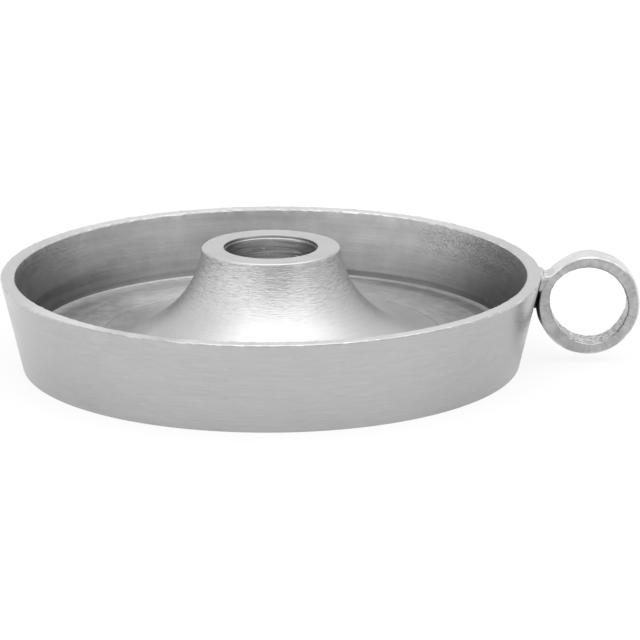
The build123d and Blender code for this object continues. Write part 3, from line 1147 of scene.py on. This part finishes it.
def weld_field(x, y, z):
    to_ring = ring_distance(x, z)
    to_wall = wall_distance(x, y, z)
    nearest = np.minimum(to_ring, to_wall)
    share = np.maximum(FILLET - np.abs(to_ring - to_wall), 0) / FILLET
    raised = share * share * FILLET / 4
    ripple = RIPPLE * share * np.sin(y / MM * RIPPLE_PER_MM + RIPPLE_START)
    front = np.interp(rim_level - z, FRONT_DROPS[::-1], FRONT_SETS[::-1]) - ring_half_width
    grooved = np.clip((rim_level - z) / MM - GROOVE_DROP_MM, 0, 1)
    front = front + 2 * grooved * np.maximum(GROOVE_WIDTH - to_wall, 0)
    ends = np.maximum(front - y, y - ring_half_width + BACK_SET)
    field = soft_max(nearest - raised + ripple + SINK, ends, END_ROUND)
    field = soft_max(field, WELD_FOOT - z, FOOT_ROUND)
    past_rim = np.maximum(np.hypot(x, y) - rim_radius + INSIDE_RIM, 0)
    field = np.maximum(field, z - rim_level + BELOW_RIM - past_rim)
    field = soft_max(field, (BORDER_LIFT * SINK - raised) / BORDER_SLOPE, BORDER_ROUND)
    return soft_max(field, -FUSION - nearest, FUSION_ROUND)


# %% [markdown]
# The bead is bright at the rim, where the file and the hands reach it, and painted black with shade below,
# deep in the gap. The groove along the wall is painted darker as shade. The finish goes on the skin of the
# field, which stands in for the CAD weld.

# %% Melt the weld
BEAD_STROKES = (3 * MM, 1.2 * MM)
BEAD_DEPTH = 0.03 * MM
BEAD_TOP = (rim_level - 2 * MM, rim_level - 0.8 * MM)
GROOVE_TOP = (rim_level - 1.6 * MM, rim_level - 0.9 * MM)
GROOVE_SIDE = (0.5 * GROOVE_WIDTH, 1.3 * GROOVE_WIDTH)


def weld_metal(name, tone, roughness):
    material, sheet = new_sheet(name)
    strokes = streaks(sheet, "pan", *BEAD_STROKES, 2.0, 0.0, 1.0)
    _, _, reach, height = around(sheet, "pan")
    # Painted shade: the bead is black low in the gap and lighter up to the rim.
    shade_and_wear = sheet.between(height, *GAP_SHADE_TOP, GAP_SHADE, 0.7)
    shade_and_wear = shade_and_wear + sheet.between(height, *BEAD_TOP, 0.0, 0.3)
    from_wall = reach - rim_radius + WALL_SLOPE * (rim_level - height)
    # Painted shade in the groove along the wall.
    groove = sheet.between(from_wall, *GROOVE_SIDE, 1.0, 0.0)
    groove = groove * sheet.between(height, *GROOVE_TOP, 1.0, 0.0)
    grey = tone * shade_and_wear * (1 - 0.8 * groove) * (1 + 0.3 * strokes)
    return metal(sheet, material, grey, roughness + 0.2 * strokes, BEAD_DEPTH * strokes)


weld = skin("weld_bead", weld_field(*weld_grid), weld_low, CELL)
weld.data.materials.append(weld_metal("weld_metal", tone=0.60, roughness=0.30))
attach(weld, "root")
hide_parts("ring_weld")

# %% [markdown]
# ## Screw and washers
# The fasteners below the floor are zinc-plated steel: bright, a little clouded, and scuffed by the driver.
# Their CAD shapes are right as they are, so only their finish is made here.

# %% Zinc-plated steel
PLATING_CLOUD = 1.5 * MM
PLATING_SCUFF = 0.25 * MM
PLATING_DEPTH = 0.01 * MM


def plated_steel(name, tone, roughness):
    material, sheet = new_sheet(name)
    cloud = grain(sheet, PLATING_CLOUD, 2.0)
    scuff = grain(sheet, PLATING_SCUFF, 4.0)
    grey = tone * (1 + 0.4 * cloud + 0.3 * scuff)
    return metal(sheet, material, grey, roughness + 0.4 * cloud, PLATING_DEPTH * (scuff + cloud))


plating = plated_steel("zinc_plating", tone=0.55, roughness=0.30)
for node in ("socket_screw", "flat_washer", "lock_washer"):
    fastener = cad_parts[node]
    fastener.data.materials.clear()
    fastener.data.materials.append(plating)
print("plated: socket_screw, flat_washer, lock_washer")

# %% [markdown]
# ## The white table
# Bare metal is a picture of what stands around it, so the table and the room matter as much as the finish.
# The table is white and shows white to the camera, with a soft shadow under the pan. In reflections it shows
# half its shadow, which shades the foot of the wall. More light would make the table white too, but it would
# burn out the metal. So a matt white and a plain white glow are mixed, by a share that depends on the kind of
# ray.

# %% The table
TABLE_HALF = 3.0
TABLE_WHITE = (0.9, 0.9, 0.9, 1)
CAMERA_SHARE = 0.86
MIRROR_SHARE = 0.5


def seen_share(sheet):
    """How much of the table shows as plain white: most to the camera, less in reflections."""
    total = CAMERA_SHARE * sheet.node("ShaderNodeLightPath", output="Is Camera Ray")
    for ray in ("Is Glossy Ray", "Is Transmission Ray"):
        total = total + MIRROR_SHARE * sheet.node("ShaderNodeLightPath", output=ray)
    return sheet.node("ShaderNodeClamp", inputs={0: total})


table_mesh = bpy.data.meshes.new("table")
table_corners = [(TABLE_HALF * x, TABLE_HALF * y, 0) for x, y in [(-1, -1), (1, -1), (1, 1), (-1, 1)]]
table_mesh.from_pydata(table_corners, [], [(0, 1, 2, 3)])
table = bpy.data.objects.new("table", table_mesh)
bpy.context.scene.collection.objects.link(table)
table_material, table_sheet = new_sheet("white_table")
matt = table_sheet.node("ShaderNodeBsdfDiffuse", inputs={"Color": TABLE_WHITE})
white = table_sheet.node("ShaderNodeEmission", inputs={"Color": (1, 1, 1, 1), "Strength": 1.0})
lit = table_sheet.node("ShaderNodeMixShader", inputs={0: seen_share(table_sheet), 1: matt, 2: white})
table_sheet.node("ShaderNodeOutputMaterial", inputs={"Surface": lit})
table_mesh.materials.append(table_material)
print(f"table {2 * TABLE_HALF:.0f} m across")

# %% [markdown]
# ## The room
# The room is white, brightest in front and at the left, dimmer at the right and low down towards the back at
# both sides. In front, a little to the right, it has one dimmer gap, where the photographer would stand, and
# the flare shows that gap as a darker middle. The room grows brighter overhead. Walls and screens could be
# built for all this, but one level of grey that changes with the direction, as a sum of smooth steps, is
# easier to set. To the camera the room is plain white.

# %% The room
ROOM_LEVEL = 0.96
FLANK_LOSS = 0.15
FRONT_GAIN = 0.3
LEFT_GAIN = 0.12
RIGHT_LOSS = 0.05
GAP_LOSS = 0.48
GAP_SIDE = math.radians(10)
OVERHEAD_GAIN = 0.46

world = bpy.data.worlds.new("studio")
bpy.context.scene.world = world
world.use_nodes = True
room = Sheet(world.node_tree)
sideways, ahead, upward = room.parts(room.node("ShaderNodeTexCoord", output="Generated"))
level_reach = (sideways * sideways + ahead * ahead) ** 0.5
facing_camera = -1.0 * ahead / level_reach
facing_gap = (math.sin(GAP_SIDE) * sideways - math.cos(GAP_SIDE) * ahead) / level_reach
gap = room.between(facing_gap, 0.82, 0.98) * room.between(upward, 0.3, 0.8, 1.0, 0.0)
left_glow = room.between(-1.0 * sideways, 0.5, 0.95) * room.between(upward, 0.4, 0.8, 1.0, 0.0)
flank = room.between(facing_camera, -0.5, 0.1, 1.0, 0.0) * room.between(facing_camera, -0.97, -0.8)
dull_flank = flank * room.between(upward, 0.1, 0.4, 1.0, 0.0)
key_side = room.between(-0.25 * sideways - 0.9 * ahead, 0.0, 0.6)
dim_right = room.between(sideways, 0.1, 0.9) * room.between(upward, 0.1, 0.3)
dim_right = dim_right * room.between(ahead, -0.6, -0.1) * room.between(upward, 0.4, 0.7, 1.0, 0.0)
glow = room.between(upward + 0.12 * sideways, 0.5, 0.95)
level = ROOM_LEVEL - FLANK_LOSS * dull_flank + FRONT_GAIN * key_side + LEFT_GAIN * left_glow
level = level * (1 - RIGHT_LOSS * dim_right) * (1 - GAP_LOSS * gap) + OVERHEAD_GAIN * glow
camera_ray = room.node("ShaderNodeLightPath", output="Is Camera Ray")
level = level * (1 - camera_ray) + camera_ray
back = room.node("ShaderNodeBackground", inputs={"Color": room.grey(level), "Strength": 1.0})
room.node("ShaderNodeOutputWorld", inputs={"Surface": back})
print("room nodes:", len(room.tree.nodes))

# %% [markdown]
# ## The lamp
# One large soft lamp hangs overhead, a little to the right and to the front. Small lamps would leave hard
# spots on bare metal. A large one gives the rim and the floor a broad light and the pan a soft shadow. The
# two ends of the pan's inside see mostly other metal, so they stay darkest. The Standard transform shows
# colours as they are written.

# %% The lamp
LAMP_SIZE = (1.0, 0.8)
LAMP_ENERGY = 1.5
LAMP_PLACE = (0.13, -0.15, 0.75)

lamp = bpy.data.lights.new("overhead", "AREA")
lamp.shape = "RECTANGLE"
lamp.size = LAMP_SIZE[0]
lamp.size_y = LAMP_SIZE[1]
lamp.energy = LAMP_ENERGY
overhead = bpy.data.objects.new("overhead", lamp)
overhead.location = LAMP_PLACE
bpy.context.scene.collection.objects.link(overhead)
bpy.context.scene.view_settings.view_transform = "Standard"
print("lamp at", LAMP_PLACE)

# %% [markdown]
# ## The camera
# The photograph was taken from about a metre away with a long lens, a little above the rim. The distance,
# the angles and the focal length come from fitting the rim, the base and the ring to the picture.

# %% Set the camera
IMAGE_SIDE = 640
FOCAL_PIXELS = 4535
SENSOR_WIDTH = 36.0
CAMERA_DISTANCE = 1090.7 * MM
CAMERA_ELEVATION = math.radians(14.94)
CAMERA_YAW = math.radians(0.64)
CAMERA_PITCH = math.radians(15.55)
CAMERA_ROLL = math.radians(-0.15)

camera_data = bpy.data.cameras.new("camera")
camera_data.sensor_width = SENSOR_WIDTH
camera_data.lens = SENSOR_WIDTH * FOCAL_PIXELS / IMAGE_SIDE
camera = bpy.data.objects.new("camera", camera_data)
forward = Vector((
    math.sin(CAMERA_YAW) * math.cos(CAMERA_PITCH),
    math.cos(CAMERA_YAW) * math.cos(CAMERA_PITCH),
    -math.sin(CAMERA_PITCH),
))
level_right = Vector((math.cos(CAMERA_YAW), -math.sin(CAMERA_YAW), 0))
level_up = level_right.cross(forward)
right = level_right * math.cos(CAMERA_ROLL) + level_up * math.sin(CAMERA_ROLL)
up = level_up * math.cos(CAMERA_ROLL) - level_right * math.sin(CAMERA_ROLL)
turn = Matrix((right, up, -forward)).transposed().to_4x4()
back_off = Vector((0, -math.cos(CAMERA_ELEVATION), math.sin(CAMERA_ELEVATION))) * CAMERA_DISTANCE
camera.matrix_world = Matrix.Translation(back_off + Vector((0, 0, rim_level))) @ turn
bpy.context.scene.collection.objects.link(camera)
bpy.context.scene.camera = camera
print(f"lens {camera_data.lens:.1f} mm at {camera.location.length:.3f} m")
